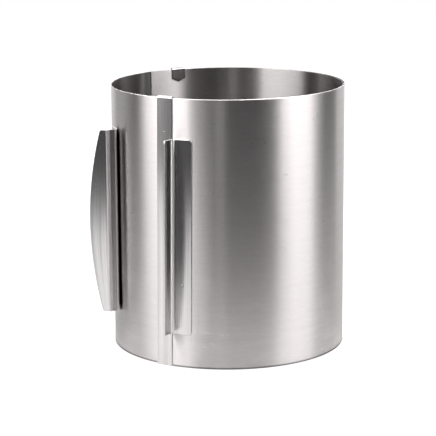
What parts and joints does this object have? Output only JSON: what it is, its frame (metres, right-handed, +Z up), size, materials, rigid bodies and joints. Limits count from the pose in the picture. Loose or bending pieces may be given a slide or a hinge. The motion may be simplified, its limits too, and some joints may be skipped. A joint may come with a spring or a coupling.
{
  "type": "adjustable cake ring",
  "caption": "Tall adjustable cake ring: an overlapped band of spring steel with a gripped handle on each side of the seam, for moulding or cutting cakes.",
  "frame": {"origin": "on the ring's axis, at the plane of the lower rim that stands on the table", "axes": "+Z up along the ring's axis; -Y towards the side that the picture was taken from, with the seam and the two handles on the -X, -Y side"},
  "size_m": [0.1926, 0.19, 0.2013],
  "materials": {
    "band_steel": "brushed round the ring",
    "strip_steel": "brushed along the strip",
    "handle_steel": "satin, brushed along the handle"
  },
  "bodies": {
    "inner_ring": {"inner_turn": "band_steel", "fixed_handle": "handle_steel", "rim_clip": "strip_steel"},
    "outer_wrap": {"outer_turn": "band_steel", "end_strip": "strip_steel", "end_handle": "handle_steel"}
  },
  "joints": [
    {"name": "wrap_slide", "type": "hinge", "parent": "inner_ring", "child": "outer_wrap", "pos_m": [0, 0, 0], "axis": [0, 0, 1], "range_deg": [-31, 50]}
  ]
}
